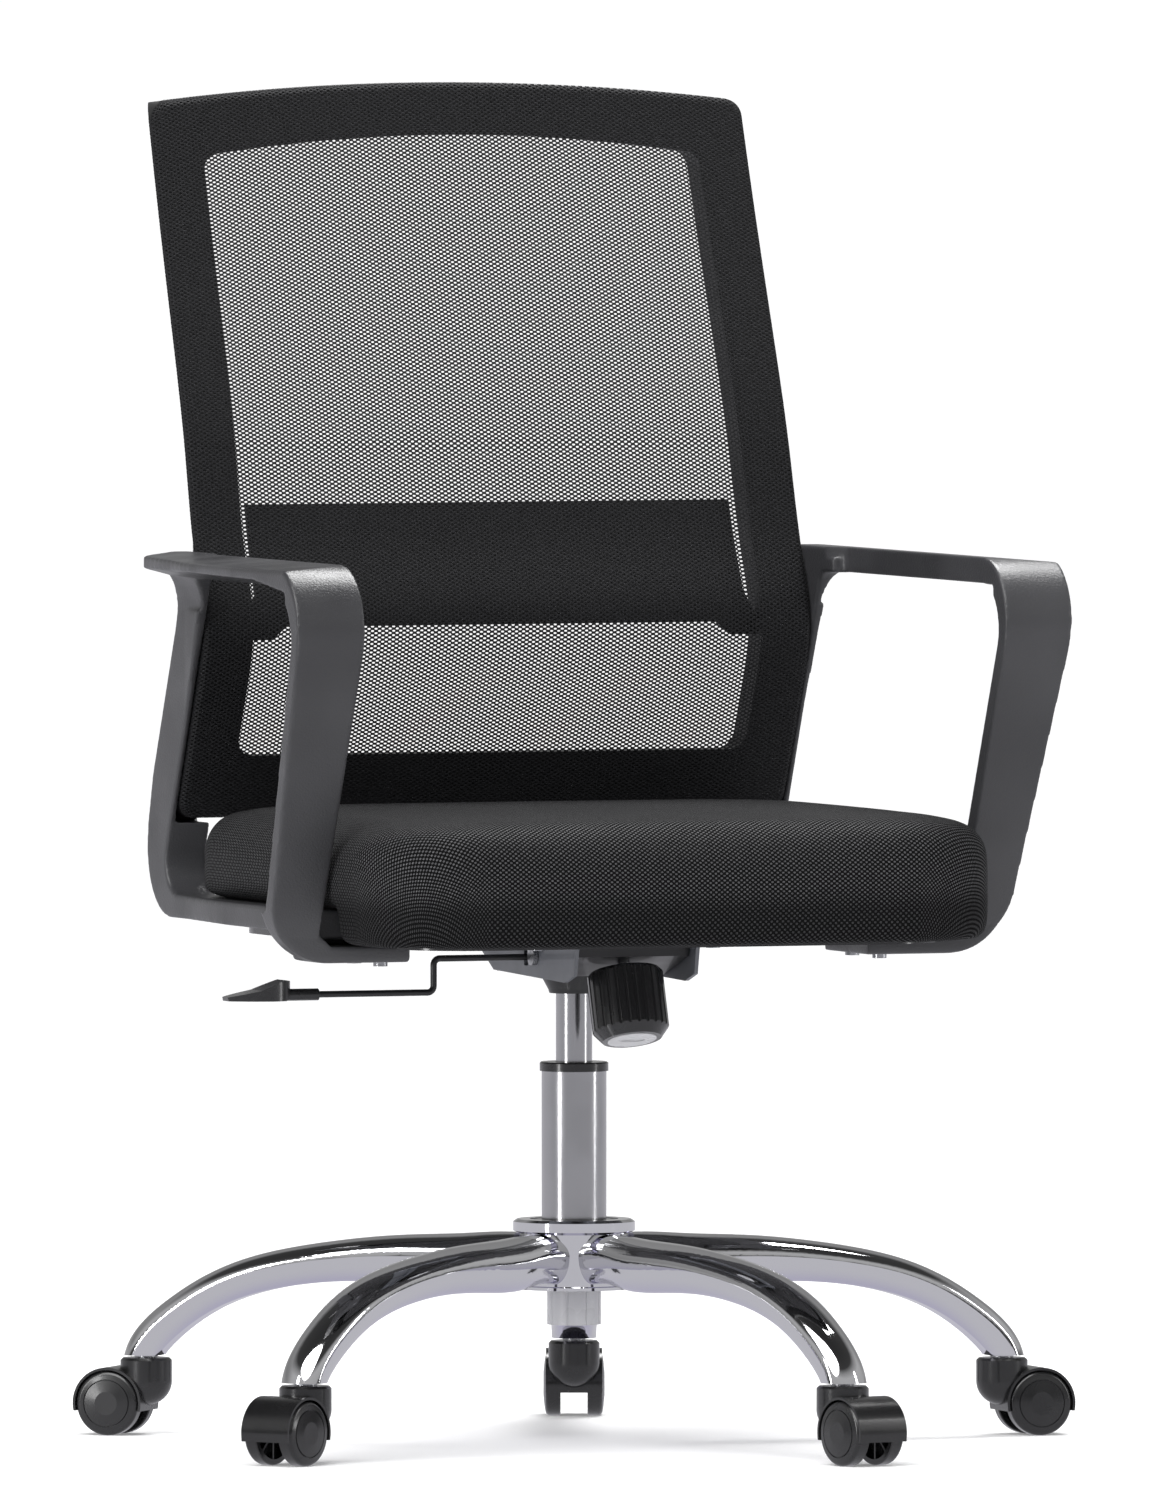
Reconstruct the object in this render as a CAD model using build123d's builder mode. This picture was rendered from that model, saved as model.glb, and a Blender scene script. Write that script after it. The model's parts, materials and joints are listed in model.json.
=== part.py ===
"""Swivel office chair: five-leg caster base, gas lift, tilting seat, loop arms and mesh back.

Millimetres. The origin is on the floor under the swivel axis, +Z is up, the sitter faces -Y and
the sitter's left is +X.
"""

from build123d import *
from math import cos, radians, sin
import os

os.makedirs("parts", exist_ok=True)

# Fits
RUNNING_GAP = 0.05
FIXED_GAP = 0.02

# Base
LEG_COUNT = 5
FIRST_LEG_ANGLE = 69
HUB_RADIUS = 42
HUB_BOTTOM = 119
HUB_RIM_RADIUS = 44
HUB_TOP = 173
FLANGE_RADIUS = 47
SLEEVE_RADIUS = 20.8
SLEEVE_BOTTOM = 91.5
FLANGE_BOTTOM = 164

# Casters
STEM_CIRCLE_RADIUS = 348
CASTER_TRAIL = 25
WHEEL_RADIUS = 25
WHEEL_INNER_FACE = 10.5
WHEEL_OUTER_FACE = 24
AXLE_RADIUS = 3
STEM_RADIUS = 5
HOOD_RADIUS = 27.7
HOOD_HALF_WIDTH = 22
HOOD_LOWER_EDGE = 19
HOOD_TOP = 60
SOCKET_RADIUS = 20
LEG_END_HEIGHT = 62

# Column
TUBE_RADIUS = 25
TUBE_WALL = 2
TUBE_BOTTOM = 122
TUBE_TOP = 290
CYLINDER_RADIUS = 14
CYLINDER_BOTTOM = 182
CYLINDER_TOP = 365
ROD_RADIUS = 5

# Mechanism
TILT_AXIS_Y = -50
TILT_AXIS_Z = 378
TILT_PIN_RADIUS = 4
HOUSING_HALF_WIDTH = 46
WALL = 3
HOUSING_BOTTOM = 363
KNOB_LEAN = 18
KNOB_RADIUS = 29.5
LEVER_Y = -30
LEVER_Z = 376.5
LEVER_DROP_X = -127
PADDLE_Z = 350.5
LEVER_RADIUS = 2.5

# Seat
PLATE_BOTTOM = 388.5
FLANGE_INNER_X = 48
PAN_BOTTOM = PLATE_BOTTOM + WALL
PAN_THICKNESS = 10
PAN_HALF_WIDTH = 222
PAN_FRONT = -245
PAN_REAR = 170
CUSHION_HALF_WIDTH = 260
CUSHION_FRONT = -284
CUSHION_REAR = 194
CUSHION_BOTTOM = 391
CUSHION_TOP = 488
CUSHION_CORNER = 85

# Back
BACK_PROFILE = [
    (203, 474),
    (196, 487),
    (160, 564),
    (139.5, 632),
    (157, 681),
    (180, 756),
    (220.5, 870),
    (283.5, 1048),
]
BACK_BOTTOM = 478
BACK_CORNER_HEIGHT = 1028
BACK_TOP = 1043
BACK_LOWER_HALF_WIDTH = 250.5
BACK_UPPER_HALF_WIDTH = 245.5
COVER_THICKNESS = 2
FRAME_DEPTH = 28
FRAME_TAPER = 11
BORDER = 40
SILL_BORDER_RATIO = 1.2
BACK_CORNER_RADIUS = 13
LUMBAR_BOTTOM = 626
LUMBAR_TOP = 720

# Arms
PAD_TOP = 685
ARM_INNER_X = 262
ARM_OUTER_X = 318
UPRIGHT_INNER_X = 222.5
UPRIGHT_OUTER_X = 256.5
RAIL_BOTTOM = 401
RAIL_TOP = 419
FOOT_BOTTOM = 379
FOOT_INNER_X = 188
UPRIGHT_REAR_LINE = [(243, 510), (191, 628)]
BACK_SCREW_X = 237
SCREW_RADIUS = 3


def save(piece, name):
    """Labels a finished piece and writes its file."""
    piece.part.label = name
    export_step(piece.part, f"parts/{name}.step")


def radial_plane(angle):
    """Upright plane through the swivel axis: x runs outward along a leg and y runs up."""
    outward = Vector(cos(radians(angle)), sin(radians(angle)), 0)
    return Plane(origin=(0, 0, 0), x_dir=outward, z_dir=(outward.Y, -outward.X, 0))


def outline(*points):
    """Adds the face inside a closed run of straight lines to the current sketch."""
    Polygon(*points, align=None)


# ---------------------------------------------------------------- base

with BuildPart() as hub:
    with BuildSketch(Plane.XZ):
        with BuildLine():
            Polyline(
                (TUBE_RADIUS + FIXED_GAP, FLANGE_BOTTOM),
                (TUBE_RADIUS + FIXED_GAP, HUB_BOTTOM),
                (HUB_RIM_RADIUS, HUB_BOTTOM),
                (HUB_RIM_RADIUS, HUB_BOTTOM + 2.4),
                (HUB_RADIUS, HUB_BOTTOM + 3.2),
                (HUB_RADIUS, FLANGE_BOTTOM - 2),
                (FLANGE_RADIUS, FLANGE_BOTTOM),
                (FLANGE_RADIUS, HUB_TOP - 2),
                (FLANGE_RADIUS - 3, HUB_TOP),
                (34, HUB_TOP),
                (34, FLANGE_BOTTOM),
                (TUBE_RADIUS + FIXED_GAP, FLANGE_BOTTOM),
            )
        make_face()
    revolve(axis=Axis.Z)
save(hub, "base_hub")

# Stations along a leg: radius, height, lean of the leg there, width and depth of its section.
LEG_STATIONS = [
    (33, 142, 0, 43.5, 39),
    (90, 141, 0, 52, 39),
    (140, 140, -2, 50, 36.5),
    (190, 137.5, -5, 47, 31.5),
    (230, 132, -11, 45, 29.5),
    (265, 123.5, -19, 43, 28.5),
    (295, 111, -28, 41, 27.5),
    (321, 94.5, -39, 38.5, 27.5),
    (339, 79, -57, 36.5, 28.5),
    (350, LEG_END_HEIGHT, -90, 35, 29.5),
]
LEG_SHOULDER_SHARE = 0.08
LEG_FLAT_SHARE = 0.25


def leg_section(angle, radius, height, lean, width, depth):
    """A section with an arched top, rounded lower corners and a flat bottom, square to the leg."""
    outward = Vector(cos(radians(angle)), sin(radians(angle)), 0)
    across = Vector(-outward.Y, outward.X, 0)
    along = outward * cos(radians(lean)) + Vector(0, 0, sin(radians(lean)))
    centre = outward * radius + Vector(0, 0, height)
    side = width / 2
    flat = width * LEG_FLAT_SHARE
    shoulder = depth * LEG_SHOULDER_SHARE
    drop = depth / 2 + shoulder
    with BuildSketch(Plane(origin=centre, x_dir=across, z_dir=along)) as section:
        with BuildLine():
            EllipticalCenterArc((0, shoulder), side, depth / 2 - shoulder, start_angle=0, arc_size=180)
            EllipticalCenterArc((-flat, shoulder), side - flat, drop, start_angle=180, arc_size=90)
            Line((-flat, -depth / 2), (flat, -depth / 2))
            EllipticalCenterArc((flat, shoulder), side - flat, drop, start_angle=270, arc_size=90)
        make_face()
    return section.sketch


# A wheel about its own axle: x runs outward along the axle.
with BuildPart() as wheel_pattern:
    with BuildSketch(Plane.XY):
        with BuildLine():
            Polyline(
                (WHEEL_OUTER_FACE, 0),
                (20.5, 0),
                (20.5, AXLE_RADIUS + RUNNING_GAP),
                (WHEEL_INNER_FACE, AXLE_RADIUS + RUNNING_GAP),
                (WHEEL_INNER_FACE, 8),
                (17, 8.5),
                (17, 20),
                (WHEEL_INNER_FACE, 20.5),
                (WHEEL_INNER_FACE, WHEEL_RADIUS - 0.8),
                (WHEEL_INNER_FACE + 0.8, WHEEL_RADIUS),
                (19, WHEEL_RADIUS),
            )
            ThreePointArc((19, WHEEL_RADIUS), (21.5, 23.8), (22.4, 21.5))
            Polyline(
                (22.4, 21.5),
                (23, 18.6),
                (22, 18.4),
                (22, 17.9),
                (23.1, 17.7),
                (WHEEL_OUTER_FACE, 9),
                (WHEEL_OUTER_FACE, 0),
            )
        make_face()
    revolve(axis=Axis.X)
    with BuildSketch(Plane.YZ.offset(12)):
        with PolarLocations(14.2, 8):
            Rectangle(12.6, 1.6)
    extrude(amount=5.5)

for number in range(LEG_COUNT):
    leg_angle = FIRST_LEG_ANGLE + number * 360 / LEG_COUNT
    plane = radial_plane(leg_angle)
    stem_foot = plane.from_local_coords(Vector(STEM_CIRCLE_RADIUS, 0, 0))

    with BuildPart() as leg:
        loft([leg_section(leg_angle, *station) for station in LEG_STATIONS])
        with BuildSketch(Plane.XY.offset(LEG_END_HEIGHT)):
            with Locations((stem_foot.X, stem_foot.Y)):
                Circle(STEM_RADIUS + FIXED_GAP)
        extrude(amount=18, mode=Mode.SUBTRACT)
        with BuildSketch(Plane.XY.offset(HUB_BOTTOM - 10)):
            Circle(HUB_RADIUS + FIXED_GAP)
        extrude(amount=80, mode=Mode.SUBTRACT)
    save(leg, f"base_leg_{number + 1}")

    with BuildPart() as stem:
        with BuildSketch(plane):
            outline(
                (STEM_CIRCLE_RADIUS, 32),
                (STEM_CIRCLE_RADIUS + STEM_RADIUS - 1, 32),
                (STEM_CIRCLE_RADIUS + STEM_RADIUS, 33),
                (STEM_CIRCLE_RADIUS + STEM_RADIUS, HOOD_TOP + 0.4),
                (STEM_CIRCLE_RADIUS + 9, HOOD_TOP + 0.4),
                (STEM_CIRCLE_RADIUS + 9, LEG_END_HEIGHT),
                (STEM_CIRCLE_RADIUS + STEM_RADIUS, LEG_END_HEIGHT),
                (STEM_CIRCLE_RADIUS + STEM_RADIUS, LEG_END_HEIGHT + 17),
                (STEM_CIRCLE_RADIUS, LEG_END_HEIGHT + 17),
            )
        revolve(axis=Axis(stem_foot, (0, 0, 1)))
    save(stem, f"caster_stem_{number + 1}")

    axle_radius_out = STEM_CIRCLE_RADIUS + CASTER_TRAIL
    with BuildPart() as hood:
        with BuildSketch(plane):
            with Locations((axle_radius_out, WHEEL_RADIUS)):
                Circle(HOOD_RADIUS)
            with Locations((axle_radius_out, HOOD_LOWER_EDGE - HOOD_RADIUS)):
                Rectangle(3 * HOOD_RADIUS, 2 * HOOD_RADIUS, mode=Mode.SUBTRACT)
        extrude(amount=HOOD_HALF_WIDTH, both=True)
        with BuildSketch(plane):
            with BuildLine():
                Polyline(
                    (STEM_CIRCLE_RADIUS, 23),
                    (STEM_CIRCLE_RADIUS, HOOD_TOP),
                    (STEM_CIRCLE_RADIUS + SOCKET_RADIUS - 2, HOOD_TOP),
                    (STEM_CIRCLE_RADIUS + SOCKET_RADIUS, HOOD_TOP - 2),
                    (STEM_CIRCLE_RADIUS + SOCKET_RADIUS, 42),
                )
                EllipticalCenterArc((STEM_CIRCLE_RADIUS, 42), SOCKET_RADIUS, 19, start_angle=-90, arc_size=90)
            make_face()
        revolve(axis=Axis(stem_foot, (0, 0, 1)))
        for side in (1, -1):
            with BuildSketch(plane.offset(side * (WHEEL_INNER_FACE - 0.5))):
                with Locations((axle_radius_out, WHEEL_RADIUS)):
                    Circle(WHEEL_RADIUS + 0.8)
            extrude(amount=side * 30, mode=Mode.SUBTRACT)
        with BuildSketch(plane):
            with Locations((axle_radius_out, WHEEL_RADIUS)):
                Circle(AXLE_RADIUS + FIXED_GAP)
        extrude(amount=30, both=True, mode=Mode.SUBTRACT)
        with BuildSketch(Plane.XY.offset(31)):
            with Locations((stem_foot.X, stem_foot.Y)):
                Circle(STEM_RADIUS + RUNNING_GAP)
        extrude(amount=40, mode=Mode.SUBTRACT)
    save(hood, f"caster_hood_{number + 1}")

    with BuildPart() as axle:
        with BuildSketch(plane):
            with Locations((axle_radius_out, WHEEL_RADIUS)):
                Circle(AXLE_RADIUS)
        extrude(amount=20, both=True)
    save(axle, f"caster_axle_{number + 1}")

    for side, side_name in ((1, "a"), (-1, "b")):
        axle_centre = plane.from_local_coords(Vector(axle_radius_out, WHEEL_RADIUS, 0))
        axle_direction = plane.z_dir * side
        wheel_plane = Plane(axle_centre, x_dir=axle_direction, z_dir=axle_direction.cross(Vector(0, 0, 1)))
        with BuildPart() as wheel:
            with Locations(wheel_plane.location):
                add(wheel_pattern.part)
        save(wheel, f"caster_wheel_{number + 1}{side_name}")

with BuildPart() as hub_ring:
    with BuildSketch(Plane.XZ):
        outline(
            (TUBE_RADIUS + FIXED_GAP, FLANGE_BOTTOM + 0.1),
            (33.9, FLANGE_BOTTOM + 0.1),
            (33.9, HUB_TOP - 1.5),
            (29, HUB_TOP - 0.5),
            (TUBE_RADIUS + FIXED_GAP, HUB_TOP - 0.5),
        )
    revolve(axis=Axis.Z)
save(hub_ring, "hub_ring")

with BuildPart() as lower_sleeve:
    with BuildSketch(Plane.XY.offset(SLEEVE_BOTTOM)):
        Circle(SLEEVE_RADIUS)
        with PolarLocations(SLEEVE_RADIUS + 0.3, 9, 35.3):
            Circle(0.9, mode=Mode.SUBTRACT)
    extrude(amount=HUB_BOTTOM - SLEEVE_BOTTOM)
    with BuildSketch(Plane.XY.offset(SLEEVE_BOTTOM + 3)):
        Circle(SLEEVE_RADIUS - 4)
    extrude(amount=HUB_BOTTOM - SLEEVE_BOTTOM - 3, mode=Mode.SUBTRACT)
save(lower_sleeve, "lower_sleeve")

# ---------------------------------------------------------------- column

with BuildPart() as column_tube:
    with BuildSketch(Plane.XZ):
        outline(
            (0, TUBE_BOTTOM),
            (TUBE_RADIUS, TUBE_BOTTOM),
            (TUBE_RADIUS, TUBE_TOP),
            (TUBE_RADIUS - TUBE_WALL, TUBE_TOP),
            (TUBE_RADIUS - TUBE_WALL, TUBE_BOTTOM + 4),
            (0, TUBE_BOTTOM + 4),
        )
    revolve(axis=Axis.Z)
save(column_tube, "column_tube")

with BuildPart() as column_collar:
    with BuildSketch(Plane.XZ):
        outline(
            (CYLINDER_RADIUS + 0.4, TUBE_TOP),
            (TUBE_RADIUS + FIXED_GAP, TUBE_TOP),
            (TUBE_RADIUS + FIXED_GAP, TUBE_TOP - 3),
            (TUBE_RADIUS + 1.5, TUBE_TOP - 3),
            (TUBE_RADIUS + 1.5, TUBE_TOP + 3),
            (TUBE_RADIUS + 0.5, TUBE_TOP + 4),
            (CYLINDER_RADIUS + 0.4, TUBE_TOP + 4),
        )
    revolve(axis=Axis.Z)
save(column_collar, "column_collar")

with BuildPart() as guide_bush:
    with BuildSketch(Plane.XY.offset(200)):
        Circle(TUBE_RADIUS - TUBE_WALL - FIXED_GAP)
        Circle(CYLINDER_RADIUS + RUNNING_GAP, mode=Mode.SUBTRACT)
    extrude(amount=TUBE_TOP - 200)
save(guide_bush, "guide_bush")

with BuildPart() as thrust_bearing:
    with BuildSketch(Plane.XZ):
        outline(
            (ROD_RADIUS + FIXED_GAP, TUBE_BOTTOM + 4.3),
            (13, TUBE_BOTTOM + 4.3),
            (13, TUBE_BOTTOM + 6.5),
            (12, TUBE_BOTTOM + 7),
            (13, TUBE_BOTTOM + 7.5),
            (13, TUBE_BOTTOM + 10),
            (ROD_RADIUS + FIXED_GAP, TUBE_BOTTOM + 10),
        )
    revolve(axis=Axis.Z)
save(thrust_bearing, "thrust_bearing")

with BuildPart() as piston_rod:
    with BuildSketch(Plane.XZ):
        outline(
            (0, TUBE_BOTTOM + 4.3),
            (ROD_RADIUS, TUBE_BOTTOM + 4.3),
            (ROD_RADIUS, 284),
            (10.95, 284),
            (10.95, 294),
            (0, 294),
        )
    revolve(axis=Axis.Z)
save(piston_rod, "piston_rod")

with BuildPart() as gas_cylinder:
    with BuildSketch(Plane.XZ):
        outline(
            (ROD_RADIUS + RUNNING_GAP, CYLINDER_BOTTOM),
            (CYLINDER_RADIUS, CYLINDER_BOTTOM),
            (CYLINDER_RADIUS, CYLINDER_TOP),
            (3 + RUNNING_GAP, CYLINDER_TOP),
            (3 + RUNNING_GAP, 352),
            (11, 352),
            (11, CYLINDER_BOTTOM + 8),
            (ROD_RADIUS + RUNNING_GAP, CYLINDER_BOTTOM + 8),
        )
    revolve(axis=Axis.Z)
save(gas_cylinder, "gas_cylinder")

RELEASE_PIN_TOP = LEVER_Z - LEVER_RADIUS - 0.6
with BuildPart() as release_pin:
    with BuildSketch(Plane.XY.offset(356)):
        Circle(3)
    extrude(amount=RELEASE_PIN_TOP - 356)
save(release_pin, "release_pin")

# ---------------------------------------------------------------- mechanism

# The tension bolt's axis: local z runs down and forward along it.
knob_plane = Plane(
    origin=(0, -105, 375),
    x_dir=(1, 0, 0),
    z_dir=(0, -sin(radians(KNOB_LEAN)), -cos(radians(KNOB_LEAN))),
)

with BuildPart() as housing:
    with BuildSketch(Plane.YZ):
        outline(
            (46, HOUSING_BOTTOM),
            (-72, HOUSING_BOTTOM),
            (-125, 379.8),
            (-125, 386),
            (-56, 386),
            (46, 366.5),
        )
    extrude(amount=HOUSING_HALF_WIDTH, both=True)
    with BuildSketch(Plane.YZ):
        outline((43, 366), (-71.5, 366), (-122, 382.2), (-122, 400), (43, 400))
    extrude(amount=HOUSING_HALF_WIDTH - WALL, both=True, mode=Mode.SUBTRACT)
    with BuildSketch(Plane.XZ):
        outline((0, 347), (19, 347), (20, 350), (27, HOUSING_BOTTOM), (20, 370), (0, 370))
    revolve(axis=Axis.Z)
    with BuildSketch(Plane.XY.offset(340)):
        Circle(CYLINDER_RADIUS + FIXED_GAP)
    extrude(amount=40, mode=Mode.SUBTRACT)
    with BuildSketch(Plane.YZ):
        with Locations((TILT_AXIS_Y, TILT_AXIS_Z)):
            Circle(TILT_PIN_RADIUS + FIXED_GAP)
    extrude(amount=60, both=True, mode=Mode.SUBTRACT)
    with BuildSketch(Plane.YZ.offset(-HOUSING_HALF_WIDTH - 2)):
        with Locations((LEVER_Y, LEVER_Z + 5)):
            Rectangle(10, 21)
    extrude(amount=8, mode=Mode.SUBTRACT)
    with BuildSketch(knob_plane.offset(-10)):
        Circle(5 + FIXED_GAP)
    extrude(amount=20, mode=Mode.SUBTRACT)
save(housing, "mechanism_housing")

with BuildPart() as tilt_pin:
    with BuildSketch(Plane.YZ):
        with Locations((TILT_AXIS_Y, TILT_AXIS_Z)):
            Circle(TILT_PIN_RADIUS)
    extrude(amount=55, both=True)
    for side in (1, -1):
        with BuildSketch(Plane.YZ.offset(side * 51.5)):
            with Locations((TILT_AXIS_Y, TILT_AXIS_Z)):
                Circle(7)
        extrude(amount=side * 3.5)
save(tilt_pin, "tilt_pin")

with BuildPart() as tension_bolt:
    with BuildSketch(knob_plane.offset(-7.5)):
        RegularPolygon(8.5, 6)
    extrude(amount=5.6)
    with BuildSketch(knob_plane.offset(-7.5)):
        Circle(5)
    extrude(amount=62.5)
save(tension_bolt, "tension_bolt")

with BuildPart() as tension_spring:
    with BuildLine():
        coil = Helix(pitch=5.2, height=36.4, radius=11.5, center=knob_plane.offset(10.5).origin,
                     direction=knob_plane.z_dir)
    with BuildSketch(Plane(origin=coil @ 0, z_dir=coil % 0)):
        Circle(1.5)
    sweep(is_frenet=True)
save(tension_spring, "tension_spring")

with BuildPart() as knob:
    with BuildSketch(Plane(knob_plane.origin, x_dir=(1, 0, 0), z_dir=knob_plane.y_dir)):
        outline(
            (16, -8),
            (16, -50),
            (5 + RUNNING_GAP, -50),
            (5 + RUNNING_GAP, -57),
            (0, -57),
            (0, -60.5),
            (19, -60.5),
            (19, -62),
            (23, -62),
            (KNOB_RADIUS, -54),
            (KNOB_RADIUS, -11),
            (27, -8),
        )
    revolve(axis=Axis(knob_plane.origin, knob_plane.z_dir))
    with BuildSketch(knob_plane.offset(5)):
        with PolarLocations(KNOB_RADIUS + 0.9, 26):
            Circle(1.9)
    extrude(amount=60, mode=Mode.SUBTRACT)
save(knob, "tension_knob")

with BuildPart() as knob_cap:
    with BuildSketch(knob_plane.offset(60.5)):
        Circle(18.9)
        SlotOverall(20, 9, mode=Mode.SUBTRACT)
    extrude(amount=2)
    with BuildSketch(knob_plane.offset(60.5)):
        SlotOverall(20, 9)
    extrude(amount=1)
save(knob_cap, "knob_cap")

with BuildPart() as lever_bushing:
    with BuildSketch(Plane.YZ.offset(-38)):
        with Locations((LEVER_Y, LEVER_Z)):
            Circle(4.5)
            Circle(LEVER_RADIUS + RUNNING_GAP, mode=Mode.SUBTRACT)
    extrude(amount=-8.5)
save(lever_bushing, "lever_bushing")

with BuildPart() as lever_rod:
    with BuildLine() as lever_path:
        FilletPolyline(
            (3.5, 0, LEVER_Z),
            (-8, 0, LEVER_Z),
            (-22, LEVER_Y, LEVER_Z),
            (LEVER_DROP_X, LEVER_Y, LEVER_Z),
            (LEVER_DROP_X, LEVER_Y, PADDLE_Z),
            (-257, LEVER_Y, PADDLE_Z),
            radius=5,
        )
    with BuildSketch(Plane(origin=lever_path.line @ 0, z_dir=lever_path.line % 0)):
        Circle(LEVER_RADIUS)
    sweep()
save(lever_rod, "lever_rod")

with BuildPart() as paddle:
    with BuildSketch(Plane.XZ.offset(-LEVER_Y - 13)):
        with BuildLine():
            Polyline((-247, 361.5), (-243.5, 361), (-243.5, 353), (-250, 346), (-262, 346), (-297, 346.5))
            Polyline((-297, 346.5), (-298, 349.5), (-272, 354.5), (-252, 362.2), (-247, 361.5))
        make_face()
    extrude(amount=26)
    with BuildSketch(Plane.XY.offset(330)):
        with Locations((-273, LEVER_Y)):
            Ellipse(28, 13)
    extrude(amount=50, mode=Mode.INTERSECT)
    with BuildSketch(Plane.YZ.offset(-222)):
        with Locations((LEVER_Y, PADDLE_Z)):
            Circle(4.6)
    extrude(amount=-42)
    with BuildSketch(Plane.YZ.offset(-200)):
        with Locations((LEVER_Y, PADDLE_Z)):
            Circle(LEVER_RADIUS + FIXED_GAP)
    extrude(amount=-57.5, mode=Mode.SUBTRACT)
save(paddle, "lever_paddle")

# ---------------------------------------------------------------- seat

BRACKET_SCREWS = [(72, 80), (-72, 80), (72, -110), (-72, -110)]
ARM_SCREWS = [(side * 205, y) for side in (1, -1) for y in (-121, -64)]

with BuildPart() as bracket:
    with BuildSketch(Plane.XY.offset(PLATE_BOTTOM)):
        with Locations((0, -20)):
            RectangleRounded(176, 236, 14)
        with Locations((0, 4)):
            RectangleRounded(72, 92, 8, mode=Mode.SUBTRACT)
        with Locations(*BRACKET_SCREWS):
            Circle(SCREW_RADIUS + FIXED_GAP, mode=Mode.SUBTRACT)
    extrude(amount=WALL)
    with BuildSketch(Plane.YZ.offset(FLANGE_INNER_X)):
        outline(
            (72, PLATE_BOTTOM + 1),
            (72, 381),
            (40, 364),
            (-112, 360),
            (-132, 366),
            (-137, PLATE_BOTTOM + 1),
        )
    extrude(amount=WALL)
    mirror(about=Plane.YZ)
    with BuildSketch(Plane.YZ):
        with Locations((TILT_AXIS_Y, TILT_AXIS_Z)):
            Circle(TILT_PIN_RADIUS + RUNNING_GAP)
    extrude(amount=60, both=True, mode=Mode.SUBTRACT)
    with BuildSketch(Plane.YZ.offset(-FLANGE_INNER_X - WALL - 1)):
        with Locations((LEVER_Y, LEVER_Z + 1.5)):
            RectangleRounded(9, 16, 2)
    extrude(amount=WALL + 2, mode=Mode.SUBTRACT)
save(bracket, "seat_bracket")

with BuildPart() as pan:
    with BuildSketch(Plane.XY.offset(PAN_BOTTOM)):
        with Locations((0, (PAN_FRONT + PAN_REAR) / 2)):
            RectangleRounded(2 * PAN_HALF_WIDTH, PAN_REAR - PAN_FRONT, 60)
        with Locations(*BRACKET_SCREWS, *ARM_SCREWS):
            Circle(SCREW_RADIUS + FIXED_GAP, mode=Mode.SUBTRACT)
    extrude(amount=PAN_THICKNESS)
save(pan, "seat_pan")

PAN_TOP = PAN_BOTTOM + PAN_THICKNESS
with BuildPart() as cushion:
    with BuildSketch(Plane.XY.offset(CUSHION_BOTTOM)):
        with Locations((0, (CUSHION_FRONT + CUSHION_REAR) / 2)):
            RectangleRounded(2 * CUSHION_HALF_WIDTH, CUSHION_REAR - CUSHION_FRONT, CUSHION_CORNER)
    extrude(amount=CUSHION_TOP - CUSHION_BOTTOM)
    fillet(cushion.faces().sort_by(Axis.Z)[-1].edges(), 32)
    fillet(cushion.faces().sort_by(Axis.Z)[0].edges(), 14)
    with BuildSketch(Plane.XY.offset(CUSHION_BOTTOM - 5)):
        with Locations((0, (PAN_FRONT + PAN_REAR) / 2)):
            Rectangle(2 * PAN_HALF_WIDTH + 2, PAN_REAR - PAN_FRONT + 2)
    extrude(amount=PAN_TOP + 0.3 - CUSHION_BOTTOM + 5, mode=Mode.SUBTRACT)
    with BuildSketch(Plane.XY.offset(CUSHION_BOTTOM - 5)):
        with Locations((PAN_HALF_WIDTH + 50, 40), (-PAN_HALF_WIDTH - 50, 40)):
            Rectangle(102, 400)
    extrude(amount=RAIL_TOP + 0.5 - CUSHION_BOTTOM + 5, mode=Mode.SUBTRACT)
save(cushion, "seat_cushion")

# ---------------------------------------------------------------- back


def back_slab(front, depth):
    """Side view of a slab that follows the back's curve, from a distance behind its front to a depth."""
    with BuildSketch(Plane.YZ) as view:
        with BuildLine():
            near = Spline(*[(y + front, z) for y, z in BACK_PROFILE])
            far = Spline(*[(y + front + depth, z) for y, z in BACK_PROFILE])
            Line(near @ 0, far @ 0)
            Line(near @ 1, far @ 1)
        make_face()
    return view.sketch


def back_outline(inset):
    """Front view of the back, drawn in by an even border."""
    low = BACK_LOWER_HALF_WIDTH - inset
    high = BACK_UPPER_HALF_WIDTH - inset
    sill = BACK_BOTTOM + inset * SILL_BORDER_RATIO
    with BuildSketch(Plane.XZ) as view:
        with BuildLine():
            Polyline(
                (-high, BACK_CORNER_HEIGHT - inset),
                (-low, 700),
                (-low, sill),
                (low, sill),
                (low, 700),
                (high, BACK_CORNER_HEIGHT - inset),
            )
            ThreePointArc(
                (high, BACK_CORNER_HEIGHT - inset),
                (0, BACK_TOP - inset),
                (-high, BACK_CORNER_HEIGHT - inset),
            )
        make_face()
        heights = view.vertices().group_by(Axis.Y)
        fillet(heights[0] + heights[-1], BACK_CORNER_RADIUS)
    return view.sketch


def back_half_width(height):
    """Half the back's width at a height: even up to its waist, then narrowing."""
    rise = max(height - 700, 0) / (BACK_CORNER_HEIGHT - 700)
    return BACK_LOWER_HALF_WIDTH - rise * (BACK_LOWER_HALF_WIDTH - BACK_UPPER_HALF_WIDTH)


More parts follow.
